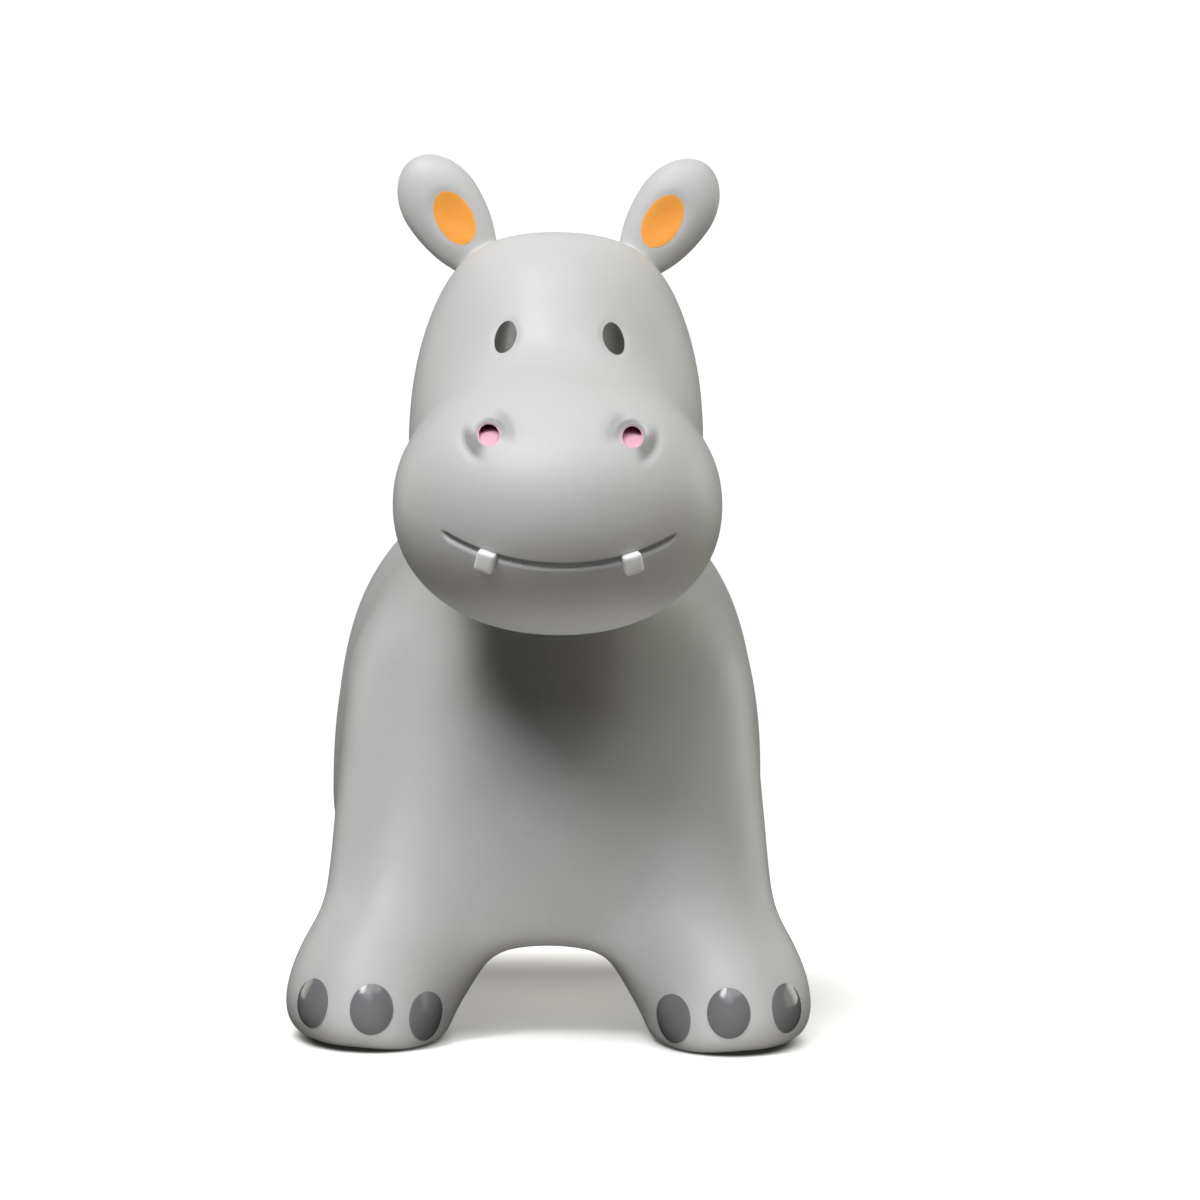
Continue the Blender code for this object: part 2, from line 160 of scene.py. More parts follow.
def body_form(p):
    """The plain skin, without the relief."""
    m = mirrored(p)
    d = smin(barrel_form(p), oval(p, *RUMP), 0.05)
    d = smin(d, smax(oval(p, *CHEST), ARCH - p[..., 2], ARCH_SOFT), 0.035)
    d = smin(d, limb(m, *SHOULDER), 0.040)
    front = smin(limb(m, *FRONT_LEG), oval(m, *FRONT_FOOT), 0.030)
    rear = smin(limb(m, *REAR_LEG), oval(m, *REAR_FOOT), 0.030)
    d = smin(smin(d, front, LEG_SOFT), rear, 0.055)
    d = smin(d, limb(p, *TAIL), 0.015)
    d = smin(d, limb(p, *NECK), 0.035)
    d = smin(d, head_form(p), 0.014)
    # a flat round boss under the belly carries the valve
    r = np.hypot(p[..., 0] - VALVE[0], p[..., 1] - VALVE[1])
    boss = smax(smax(r - 0.0185, BOSS_Z - p[..., 2], 0.003), p[..., 2] - 0.060, 0.003)
    d = smin(d, boss, 0.008)
    # flat soles, rounder towards the outside of each foot
    edge = SOLE_ROUND_IN + (SOLE_ROUND_OUT - SOLE_ROUND_IN) * step(0.076, 0.112, m[..., 0])
    return smax(d, -p[..., 2], edge)


def gradient(fn, p, e):
    g = np.empty_like(p)
    for i in range(3):
        o = np.zeros(3)
        o[i] = e
        g[..., i] = (fn(p + o) - fn(p - o)) / (2.0 * e)
    return g


def settle(fn, p, rounds=5, e=2e-4, most=0.006):
    """Moves points onto the surface fn = 0."""
    for _ in range(rounds):
        f = fn(p)
        g = gradient(fn, p, e)
        g2 = np.maximum((g * g).sum(-1), 0.05)
        p = p - np.clip(f / g2, -most, most)[:, None] * g
    return p


def normals_of(fn, p, e=2e-4):
    g = gradient(fn, p, e)
    return g / np.linalg.norm(g, axis=-1, keepdims=True)


def drop(fn, p, way, rounds=12, e=2e-4):
    """Slides points along a direction until they lie on the surface fn = 0."""
    way = np.asarray(way, float)
    s = np.zeros(len(p))
    for _ in range(rounds):
        q = p + s[:, None] * way
        f = fn(q)
        d = (fn(q + way * e) - fn(q - way * e)) / (2 * e)
        d = np.where(np.abs(d) < 0.15, np.sign(d) * 0.15 + (d == 0) * 0.15, d)
        s = s - np.clip(f / d, -0.01, 0.01)
    return p + s[:, None] * way


def front_spot(x, z, fn=body_form):
    """The skin's point and direction where a line from the front meets it."""
    y = np.linspace(-0.30, 0.05, 1401)
    p = np.stack([np.full_like(y, x), y, np.full_like(y, z)], -1)
    f = fn(p)
    i = int(np.argmax(f < 0))
    spot = settle(lambda q: fn(np.stack([np.full(len(q), x), q[:, 1], np.full(len(q), z)], -1)), p[i : i + 1], 8)[0]
    spot = np.array([x, spot[1], z])
    return spot, normals_of(fn, spot[None])[0]


def tangent_frame(n, turn):
    """Two directions in the skin at a spot: sideways and upwards, turned by some degrees."""
    side = np.cross([0.0, 0.0, 1.0], n)
    side /= np.linalg.norm(side)
    up = np.cross(n, side)
    t = math.radians(turn)
    return side * math.cos(t) + up * math.sin(t), -side * math.sin(t) + up * math.cos(t)


# ---------------------------------------------------------------- relief pressed into the skin
# the left-hand (+X) details; the other side mirrors them
EYE_AT, EYE_TURN, EYE_HALF = (0.0301, 0.3977), -3.0, (0.0065, 0.0101)
NOSTRIL_AT = (0.0383, 0.3463)
HOLE_R, HOLE_DEEP = 0.0062, (0.0010, 0.0130)
# the two hollows beside each nostril: direction from it, half angle, depth, strength of the shade painted in it
HOLLOWS = ((-28.0, 60.0, 0.0009, 0.68), (152.0, 58.0, 0.0007, 0.42))
HOLLOW_IN, HOLLOW_LOW, HOLLOW_OUT = 0.0062, 0.0126, 0.0190
LIP_DEEP, LIP_WIDE = 0.0012, 0.0036
MOUTH_Z, MOUTH_BEND, MOUTH_LIFT, MOUTH_END = 0.2788, 3.61, 118.0, 0.0630
MOUTH_DEPTH = 0.0022

eye_spot, eye_out = front_spot(*EYE_AT)
eye_side, eye_up = tangent_frame(eye_out, EYE_TURN)
nose_spot, nose_out = front_spot(*NOSTRIL_AT)


def mouth_line(x):
    return MOUTH_Z + MOUTH_BEND * x * x + MOUTH_LIFT * x ** 4


def mouth_across(m):
    """Distance above the mouth line, along the skin."""
    x = m[..., 0]
    slope = 2 * MOUTH_BEND * x + 4 * MOUTH_LIFT * x ** 3
    return (m[..., 2] - mouth_line(x)) * 1.09 / np.sqrt(1.0 + slope * slope)


def relief(p):
    """How deep the skin is pressed in at a point near it."""
    m = mirrored(p)
    out = np.zeros(p.shape[:-1])
    # mouth: the upper lip ends in a step, the lower lip rises out of it as a soft ledge
    t = mouth_across(m) / MM
    ledge = np.clip((-1.2 - t) / 3.8, 0.0, 1.0)
    deep = step(1.05, -1.10, t) * (1.0 - ledge) ** 1.9
    ends = step(MOUTH_END + 0.001, MOUTH_END - 0.005, m[..., 0]) * step(-0.20, -0.21, p[..., 1])
    out += ends * MOUTH_DEPTH * deep
    # nostrils: a hollow on either side of the hole, deepest near its far edge
    a, b = m[..., 0] - NOSTRIL_AT[0], m[..., 2] - NOSTRIL_AT[1]
    near = step(0.03, 0.02, np.abs((m - nose_spot) @ nose_out))
    r, way = np.hypot(a, b), np.degrees(np.arctan2(b, a))
    fall = np.clip((r - HOLLOW_IN) / (HOLLOW_LOW - HOLLOW_IN), 0.0, 1.0) ** 1.2 * step(HOLLOW_OUT, HOLLOW_LOW, r)
    for at, half, depth, _ in HOLLOWS:
        turn = np.abs((way - at + 180.0) % 360.0 - 180.0)
        out += near * depth * fall * step(half, half * 0.30, turn)
    # above it the skin rolls over into the hole
    out += near * LIP_DEEP * step(HOLE_R + LIP_WIDE, HOLE_R + 0.0005, r) * step(-0.004, 0.005, b)
    # shallow hollow around each eye
    q = m - eye_spot
    a, b, c = q @ eye_side, q @ eye_up, q @ eye_out
    near = step(0.03, 0.02, np.abs(c))
    r = np.sqrt((a / (EYE_HALF[0] + 0.004)) ** 2 + (b / (EYE_HALF[1] + 0.004)) ** 2)
    out += near * 0.0006 * step(1.0, 0.55, r)
    return out


def skin_form(p):
    return body_form(p) + relief(p)


def painted_shade(p):
    """Painted shade: how much darker the colour is made in the mouth line, in the hollows beside the nostrils and
    over the top of each nostril hole, where shade falls.
    """
    m = mirrored(p)
    t = mouth_across(m) / MM
    ends = step(MOUTH_END + 0.001, MOUTH_END - 0.004, m[:, 0]) * step(-0.20, -0.21, p[:, 1])
    out = 0.85 * ends * np.exp(-((t + 0.20) / 1.10) ** 2)
    a, b = m[:, 0] - NOSTRIL_AT[0], m[:, 2] - NOSTRIL_AT[1]
    near = step(0.03, 0.02, np.abs((m - nose_spot) @ nose_out))
    r, way = np.hypot(a, b), np.degrees(np.arctan2(b, a))
    for at, half, _, painted_shade_amount in HOLLOWS:
        turn = np.abs((way - at + 180.0) % 360.0 - 180.0)
        band = step(HOLLOW_OUT - 0.0028, HOLLOW_LOW - 0.0008, r) * step(HOLE_R - 0.0012, HOLE_R + 0.0012, r)
        out = np.maximum(out, near * painted_shade_amount * band * step(half, half * 0.30, turn))
    # painted shade over the top of each nostril hole, where the rolled rim faces down
    return np.maximum(out, near * 0.60 * step(HOLE_R + 0.0036, HOLE_R, r) * step(-0.003, 0.004, b))


# ---------------------------------------------------------------- surface to mesh
def net(fn, low, high, h):
    """Points and four-sided faces of the surface fn = 0 inside a box, on a grid of step h."""
    low = np.asarray(low, float)
    n = np.ceil((np.asarray(high, float) - low) / h).astype(int) + 1
    ax = [low[i] + h * np.arange(n[i]) for i in range(3)]
    f = np.empty(n)
    yz = np.stack(np.meshgrid(ax[1], ax[2], indexing="ij"), -1)
    for i in range(n[0]):
        slab = np.concatenate([np.full(yz.shape[:2] + (1,), ax[0][i]), yz], -1)
        f[i] = fn(slab)
    s = f < 0
    c = n - 1
    acc = np.zeros((*c, 3))
    cnt = np.zeros(c)

    def corner(g, o):
        return g[o[0] : o[0] + c[0], o[1] : o[1] + c[1], o[2] : o[2] + c[2]]

    for axis in range(3):
        others = [i for i in range(3) if i != axis]
        for u in (0, 1):
            for v in (0, 1):
                o = [0, 0, 0]
                o[others[0]], o[others[1]] = u, v
                e = list(o)
                e[axis] = 1
                f0, f1 = corner(f, o), corner(f, e)
                cross = (f0 < 0) != (f1 < 0)
                t = np.where(cross, f0 / np.where(cross, f0 - f1, 1.0), 0.0)
                for i in range(3):
                    acc[..., i] += np.where(cross, t if i == axis else o[i], 0.0)
                cnt += cross
    live = cnt > 0
    index = np.full(c, -1)
    index[live] = np.arange(live.sum())
    where = np.argwhere(live)
    pts = low + h * (where + acc[live] / cnt[live][:, None])
    quads = []
    for axis in range(3):
        u, v = (axis + 1) % 3, (axis + 2) % 3
        a = np.take(s, range(0, n[axis] - 1), axis)
        b = np.take(s, range(1, n[axis]), axis)
        spots = np.argwhere(a != b)
        inside = (spots[:, u] > 0) & (spots[:, v] > 0) & (spots[:, u] < n[u] - 1) & (spots[:, v] < n[v] - 1)
        spots = spots[inside]
        ring = []
        for du, dv in ((-1, -1), (0, -1), (0, 0), (-1, 0)):
            cell = spots.copy()
            cell[:, u] += du
            cell[:, v] += dv
            ring.append(index[cell[:, 0], cell[:, 1], cell[:, 2]])
        ring = np.stack(ring, -1)
        outward = a[spots[:, 0], spots[:, 1], spots[:, 2]]
        quads.append(np.where(outward[:, None], ring, ring[:, ::-1]))
    return pts, np.concatenate(quads)


def relax(fn, p, quads, rounds=8):
    """Evens out the faces of a net without leaving the surface."""
    e = np.concatenate([quads[:, [0, 1]], quads[:, [1, 2]], quads[:, [2, 3]], quads[:, [3, 0]]])
    count = np.bincount(e.ravel(), minlength=len(p)).astype(float)
    for _ in range(rounds):
        total = np.zeros_like(p)
        for i in range(3):
            total[:, i] = np.bincount(e[:, 0], p[e[:, 1], i], len(p)) + np.bincount(e[:, 1], p[e[:, 0], i], len(p))
        p = settle(fn, p + 0.5 * (total / count[:, None] - p), 2)
    return p


def coords(me):
    co = np.empty(len(me.vertices) * 3, np.float32)
    me.vertices.foreach_get("co", co)
    return co.reshape(-1, 3).astype(float)


def refine(me, fn, want, sizes):
    """Divides the faces where finer ones are wanted; want(p) gives the wanted size of a face."""
    for size in sizes:
        bm = bmesh.new()
        bm.from_mesh(me)
        centres = np.array([f.calc_center_median() for f in bm.faces])
        pick = want(centres) < size * 0.75
        bm.faces.ensure_lookup_table()
        edges = {e for i in np.flatnonzero(pick) for e in bm.faces[i].edges if e.calc_length() > size * 0.6}
        bmesh.ops.subdivide_edges(bm, edges=list(edges), cuts=1, use_grid_fill=True)
        bm.to_mesh(me)
        bm.free()
        p = settle(fn, coords(me), 3)
        me.vertices.foreach_set("co", p.astype(np.float32).ravel())
    return me


def piece(name, me):
    ob = bpy.data.objects.new(name, me)
    bpy.context.scene.collection.objects.link(ob)
    return ob


def shade(me, normals=None):
    me.shade_smooth()
    if normals is not None:
        me.normals_split_custom_set_from_vertices(normals.tolist())
    me.update()


def mesh_of(name, points, faces):
    me = bpy.data.meshes.new(name)
    me.from_pydata(np.asarray(points).tolist(), [], [list(map(int, f)) for f in faces])
    me.update()
    return me


# ---------------------------------------------------------------- the skin
def wanted(p):
    """The face size that the relief needs."""
    m = mirrored(p)
    size = np.full(len(p), 1.0)
    t = mouth_across(m)
    lips = (m[:, 0] < MOUTH_END + 0.004) & (p[:, 1] < -0.20)
    size = np.where(lips & (np.abs(t + 0.001) < 0.009), 0.002, size)
    size = np.where(lips & (np.abs(t + 0.001) < 0.005), 0.001, size)
    size = np.where(lips & (np.abs(t + 0.0010) < 0.0038), 0.0005, size)
    d = np.linalg.norm(m - nose_spot, axis=-1)
    size = np.where(d < 0.026, np.minimum(size, 0.002), size)
    size = np.where(d < 0.021, np.minimum(size, 0.001), size)
    size = np.where(np.abs(d - 0.5 * (HOLE_R + HOLLOW_OUT)) < 0.0075, np.minimum(size, 0.0005), size)
    d = np.linalg.norm(m - eye_spot, axis=-1)
    size = np.where(d < 0.020, np.minimum(size, 0.002), size)
    foot = (p[:, 2] < 0.030) & (np.abs(np.abs(p[:, 0]) - 0.103) < 0.06)
    size = np.where(foot & (p[:, 2] < 0.016), np.minimum(size, 0.002), size)
    r = np.hypot(p[:, 0] - VALVE[0], p[:, 1] - VALVE[1])
    size = np.where((r < 0.026) & (p[:, 2] < 0.08), np.minimum(size, 0.002), size)
    return size


pts, quads = net(body_form, (-0.1656, -0.290, -0.012), (0.1656, 0.292, 0.476), 0.0039)
pts = settle(body_form, pts, 4)
pts = relax(body_form, pts, quads, 8)
skin_mesh = mesh_of("skin", pts, quads)
refine(skin_mesh, body_form, wanted, (0.0039, 0.00195, 0.00098))
final = settle(skin_form, coords(skin_mesh), 8, 1.5e-4, 0.0015)
skin_mesh.vertices.foreach_set("co", final.astype(np.float32).ravel())
# openings for the valve and the nostril cups, each hidden behind the piece in it
bm = bmesh.new()
bm.from_mesh(skin_mesh)
centres = np.array([f.calc_center_median() for f in bm.faces])
bm.faces.ensure_lookup_table()
gone = (centres[:, 2] < 0.06) & (np.hypot(centres[:, 0] - VALVE[0], centres[:, 1] - VALVE[1]) < 0.0068)
side = np.hypot(np.abs(centres[:, 0]) - NOSTRIL_AT[0], centres[:, 2] - NOSTRIL_AT[1])
gone |= (side < HOLE_R - 0.0008) & (centres[:, 1] < -0.15)
bmesh.ops.delete(bm, geom=[bm.faces[i] for i in np.flatnonzero(gone)], context="FACES")
bm.to_mesh(skin_mesh)
bm.free()
shade(skin_mesh, normals_of(skin_form, coords(skin_mesh), 1.5e-4))
# painted shade in the mouth line and the nostril hollows, kept on the skin for its finish
painted_shade_amount = skin_mesh.attributes.new("painted_shade", "FLOAT", "POINT")
painted_shade_amount.data.foreach_set("value", painted_shade(coords(skin_mesh)).astype(np.float32))
skin = piece("skin", skin_mesh)


# ---------------------------------------------------------------- raised and sunken details
def patch(name, fn, spot, out, side, up, half, height, sink=0.0012, rings=14, around=64, egg=0.0):
    """A closed oval pad that follows the surface fn; height(r) is its rise from middle (0) to edge (1)."""
    top, rise = [], []
    ang = np.arange(around) * 2 * math.pi / around
    for j in range(rings + 1):
        r = (j / rings) ** 0.85
        if j == 0:
            top.append(spot[None])
            rise.append(np.array([height(0.0)]))
            continue
        a = half[0] * r * np.cos(ang) * (1.0 + egg * np.sin(ang))
        b = half[1] * r * np.sin(ang)
        top.append(spot + a[:, None] * side + b[:, None] * up)
        rise.append(np.full(around, height(r)))
    flat = drop(fn, np.concatenate(top), -np.asarray(out))
    n = normals_of(fn, flat, 6e-4)
    face = flat + n * np.concatenate(rise)[:, None]
    rim = flat[-around:] - n[-around:] * sink
    under = flat[-around:] * 0.5 + (flat[0] - flat[-around:].mean(0) + flat[-around:]) * 0.0 + flat[0] * 0.5 - n[0] * sink
    pts = np.concatenate([face, rim, under, (flat[0] - n[0] * sink)[None]])
    faces = [(0, 1 + i, 1 + (i + 1) % around) for i in range(around)]

    def band(a, b):
        return [(a + i, b + i, b + (i + 1) % around, a + (i + 1) % around) for i in range(around)]

    start = 1
    for j in range(1, rings):
        faces += band(start, start + around)
        start += around
    faces += band(start, start + around)
    faces += band(start + around, start + 2 * around)
    last = start + 3 * around
    faces += [(start + 2 * around + i, last, start + 2 * around + (i + 1) % around) for i in range(around)]
    me = mesh_of(name, pts, faces)
    bm = bmesh.new()
    bm.from_mesh(me)
    bmesh.ops.recalc_face_normals(bm, faces=bm.faces[:])
    bm.to_mesh(me)
    bm.free()
    me.shade_smooth()
    me.set_sharp_from_angle(angle=math.radians(50))
    return piece(name, me)


def flipped(v):
    return np.array([-v[0], v[1], v[2]])


def cup(name, sx, around=72):
    """A closed round bore with a soft lip, set level into the muzzle; its floor slopes back to the top."""
    turn = np.arange(around) * 2 * math.pi / around
    lip = HOLE_R - 0.0007
    # ring radius, place from the skin (0) to the floor (1), shift backwards
    rings = (
        (0.0, 1.0, 0.0014), (HOLE_R * 0.5, 1.0, 0.0014), (HOLE_R, 1.0, 0.0014), (HOLE_R, 0.0, 0.0008), (HOLE_R, 0.0, -0.0001),
        (HOLE_R - 0.0003, 0.0, -0.0002), (lip, 0.0, 0.0), (lip - 0.0001, 0.35, 0.0), (lip - 0.0002, 0.75, 0.0),
        (lip - 0.0006, 1.0, -0.0003), (lip * 0.75, 1.0, 0.0), (lip * 0.5, 1.0, 0.0), (lip * 0.25, 1.0, 0.0), (0.0, 1.0, 0.0),
    )
    pts, top_shade = [], []
    for r, place, shift in rings:
        ring = np.stack([NOSTRIL_AT[0] + r * np.cos(turn), np.full(around, nose_spot[1]), NOSTRIL_AT[1] + r * np.sin(turn)], -1)
        ring = drop(skin_form, ring if r > 0 else ring[:1], (0.0, 1.0, 0.0))
        rise = np.clip((ring[:, 2] - NOSTRIL_AT[1]) / lip * 0.5 + 0.5, 0.0, 1.0) ** 1.15
        ring[:, 1] += (HOLE_DEEP[0] + (HOLE_DEEP[1] - HOLE_DEEP[0]) * rise) * place + shift
        # painted shade: the bore is coloured darker towards its top, where the rim shades it
        top_shade.append(0.75 * rise ** 2)
        pts.append(ring)
    rings = rings[1:-1]
    pts = np.concatenate(pts)
    pts[:, 0] *= sx
    last = len(pts) - 1
    faces = [(0, 1 + i, 1 + (i + 1) % around) for i in range(around)]
    for j in range(len(rings) - 1):
        a, b = 1 + j * around, 1 + (j + 1) * around
        faces += [(a + i, b + i, b + (i + 1) % around, a + (i + 1) % around) for i in range(around)]
    faces += [(last - around + i, last, last - around + (i + 1) % around) for i in range(around)]
    me = mesh_of(name, pts, faces)
    bm = bmesh.new()
    bm.from_mesh(me)
    bmesh.ops.recalc_face_normals(bm, faces=bm.faces[:])
    bm.to_mesh(me)
    bm.free()
    me.shade_smooth()
    me.set_sharp_from_angle(angle=math.radians(60))
    me.attributes.new("painted_shade", "FLOAT", "POINT").data.foreach_set("value", np.concatenate(top_shade).astype(np.float32))
    return piece(name, me)


made = {}
for label, sx in (("left", 1), ("right", -1)):
    f = (lambda v: v) if sx > 0 else flipped

    # eyes: low glossy domes
    made[label + "_eye_dome"] = ("eye", "upper", label + "_eye", patch(
        label + "_eye_dome", skin_form, f(eye_spot), f(eye_out), f(eye_side), f(eye_up), EYE_HALF,
        lambda r: 0.00025 + 0.0010 * (1.0 - r * r)))

    # nostrils: round cups that go straight back into the muzzle
    made[label + "_nostril_cup"] = ("nostril", "upper", label + "_nostril", cup(label + "_nostril_cup", sx))


# teeth: small rounded blocks that lean with the mouth
def rounded_block(name, half, radius, cuts=9, crown=0.0004):
    bm = bmesh.new()
    bmesh.ops.create_cube(bm, size=2.0)
    bmesh.ops.subdivide_edges(bm, edges=bm.edges[:], cuts=cuts, use_grid_fill=True)
    for v in bm.verts:
        p = Vector((v.co.x * half[0], v.co.y * half[1], v.co.z * half[2]))
        q = Vector(tuple(max(-(h - radius), min(h - radius, c)) for c, h in zip(p, half)))
        d = p - q
        if d.length > 1e-9:
            p = q + d.normalized() * radius
        bulge = (1 - v.co.x ** 2) * (1 - v.co.z ** 2) * crown
        p.y += bulge * (1 if v.co.y > 0 else -1) if abs(v.co.y) > 0.99 else 0.0
        v.co = p
    bmesh.ops.recalc_face_normals(bm, faces=bm.faces[:])
    me = bpy.data.meshes.new(name)
    bm.to_mesh(me)
    bm.free()
    me.shade_smooth()
    return me


TOOTH_AT, TOOTH_HALF, TOOTH_LEAN, TOOTH_OUT = (0.0386, 0.2798), (0.0052, 0.0060, 0.0057), 17.0, 0.0050
for label, sx in (("left", 1), ("right", -1)):
    spot, n = front_spot(TOOTH_AT[0], TOOTH_AT[1])
    n = np.array([n[0] * 0.7, n[1], n[2] * 0.55])
    n /= np.linalg.norm(n)
    side, up = tangent_frame(n, TOOTH_LEAN)
    at = spot + n * (TOOTH_OUT - TOOTH_HALF[1])
    if sx < 0:
        side, up, n, at = -flipped(side), flipped(up), flipped(n), flipped(at)
    me = rounded_block(label + "_tooth_block", TOOTH_HALF, 0.0017)
    m = Matrix((Vector(side), Vector(-n), Vector(up))).transposed().to_4x4()
    me.transform(Matrix.Translation(Vector(at)) @ m)
    made[label + "_tooth_block"] = ("tooth", "upper", label + "_tooth", piece(label + "_tooth_block", me))

# toenails: x, z, half width, half height, turn; on the front of each foot
NAILS = (
    (0.1333, 0.0261, 0.0128, 0.0138, 8.0),
    (0.0988, 0.0254, 0.0120, 0.0140, 4.0),
    (0.0684, 0.0186, 0.0142, 0.0138, 24.0),
)
REAR_NAILS = (
    (0.1205, 0.0275, 0.0108, 0.0130, 8.0),
    (0.0950, 0.0262, 0.0108, 0.0132, 4.0),
    (0.0705, 0.0225, 0.0104, 0.0128, 20.0),
)
REAR_NAILS_Y = 0.040


def nail(r):
    return 0.0004 + 0.0021 * (1.0 - r * r)


for foot in ("front", "rear"):
    for label, sx in (("left", 1), ("right", -1)):
        f = (lambda v: v) if sx > 0 else flipped
        for i, (x, z, hw, hh, lean) in enumerate(NAILS if foot == "front" else REAR_NAILS):
            if foot == "front":
                spot, n = front_spot(x, z)
            else:
                # on the hind foot, seen from the gap between the feet
                y = np.linspace(REAR_NAILS_Y + 0.001, 0.2, 800)
                line = np.stack([np.full_like(y, x), y, np.full_like(y, z)], -1)
                k = int(np.argmax(body_form(line) < 0))
                spot = line[k]
                n = normals_of(body_form, spot[None])[0]
            side, up = tangent_frame(n, lean)
            name = "%s_%s_toenail_%d" % (foot, label, i + 1)
            made[name + "_pad"] = ("toenail", "base", name, patch(
                name + "_pad", body_form, f(spot), f(n), f(side), f(up), (hw, hh), nail, sink=0.0010, rings=14, around=56))

# ---------------------------------------------------------------- ears
EAR_MID = (0.0676, -0.066, 0.4727)
EAR_TILT = 33.7
EAR_HALF = (0.0229, 0.0112, 0.0303)
EAR_STALK = 0.0472
EAR_SQUARE = 1.95
EAR_FILLET = 0.008
BOWL = ((-0.0020, -0.0138, -0.0114), (0.0150, 0.0060, 0.0210))
PATCH_AT, PATCH_HALF, PATCH_TURN = (-0.0020, -0.0114), (0.0105, 0.0165), 3.7
ear_turn = turn_y(EAR_TILT)
ear_side, ear_up = ear_turn[:, 0], ear_turn[:, 2]


def ear_form(p):
    """One ear on the +X side: a leaf on a broad stalk, with a shallow bowl in its front."""
    q = (p - np.asarray(EAR_MID)) @ ear_turn
    leaf = q.copy()
    leaf[..., 2] *= np.where(leaf[..., 2] < 0, EAR_HALF[2] / EAR_STALK, 1.0)
    leaf = oval(leaf, (0, 0, 0), EAR_HALF, EAR_SQUARE)
    return smax(leaf, -oval(q, BOWL[0], BOWL[1]), 0.004)


def ear_on_head(p):
    return smin(ear_form(p), body_form(p), EAR_FILLET)


def ear_mesh(name):
    lo = np.array([0.018, -0.100, 0.405])
    hi = np.array([0.102, -0.034, 0.512])
    p, quads = net(ear_on_head, lo, hi, 0.0017)
    p = settle(ear_on_head, p, 4)
    p = relax(ear_on_head, p, quads, 6)
    keep = (ear_form(p) < EAR_FILLET * 0.80)[quads].all(-1)
    me = mesh_of(name, p, quads[keep])
    bm = bmesh.new()
    bm.from_mesh(me)
    bmesh.ops.delete(bm, geom=[v for v in bm.verts if not v.link_faces], context="VERTS")
    # the largest connected part is the ear
    groups, seen = [], set()
    for v in bm.verts:
        if v in seen:
            continue
        stack, group = [v], []
        seen.add(v)
        while stack:
            w = stack.pop()
            group.append(w)
            for e in w.link_edges:
                o = e.other_vert(w)
                if o not in seen:
                    seen.add(o)
                    stack.append(o)
        groups.append(group)
    groups.sort(key=len)
    for g in groups[:-1]:
        bmesh.ops.delete(bm, geom=g, context="VERTS")
    # the rim lies on the head along one clean line
    rim = [v for v in bm.verts if v.is_boundary]
    line = np.array([v.co for v in rim])
    for _ in range(6):
        line = settle(lambda q: ear_form(q) - EAR_FILLET * 0.80, line, 2)
        line = settle(ear_on_head, line, 2)
    for v, c in zip(rim, line):
        v.co = c
    # closed below, inside the head
    edges = [e for e in bm.edges if e.is_boundary]
    out = bmesh.ops.extrude_edge_only(bm, edges=edges)
    low = [g for g in out["geom"] if isinstance(g, bmesh.types.BMVert)]
    n = normals_of(body_form, np.array([v.co for v in low]))
    mid = np.mean([v.co for v in low], axis=0)
    for v, d in zip(low, n):
        v.co = Vector(np.array(v.co) * 0.9 + mid * 0.1 - d * 0.0025)
    bmesh.ops.holes_fill(bm, edges=[e for e in bm.edges if e.is_boundary], sides=0)
    bmesh.ops.recalc_face_normals(bm, faces=bm.faces[:])
    bm.to_mesh(me)
    bm.free()
    return me


base_ear = ear_mesh("ear")
ear_points = coords(base_ear)
for label, sx in (("left", 1), ("right", -1)):
    f = (lambda v: v) if sx > 0 else flipped
    me = base_ear.copy()
    me.name = label + "_ear_leaf"
    p = ear_points.copy()
    p[:, 0] *= sx
    me.vertices.foreach_set("co", p.astype(np.float32).ravel())
    if sx < 0:
        me.flip_normals()
    me.shade_smooth()
    me.set_sharp_from_angle(angle=math.radians(60))
    made[label + "_ear_leaf"] = ("skin", label + "_ear", label + "_ear", piece(label + "_ear_leaf", me))

    # the coloured oval in the bowl of the ear
    fn = ear_form if sx > 0 else (lambda p: ear_form(p * np.array([-1.0, 1.0, 1.0])))
    t = math.radians(PATCH_TURN)
    side = ear_side * math.cos(t) + ear_up * math.sin(t)
    up = -ear_side * math.sin(t) + ear_up * math.cos(t)
    at = np.asarray(EAR_MID) + PATCH_AT[0] * ear_side + PATCH_AT[1] * ear_up + np.array([0, -0.006, 0])
    out = np.array([0.0, -1.0, 0.0])
    at = drop(ear_form, at[None], -out)[0]
    made[label + "_inner_ear_oval"] = ("inner_ear", label + "_ear", label + "_inner_ear", patch(
        label + "_inner_ear_oval", fn, f(at), f(out), f(side), f(up), PATCH_HALF,
        lambda r: 0.00022 * (1.0 - r ** 6) + 0.00012, sink=0.0008))


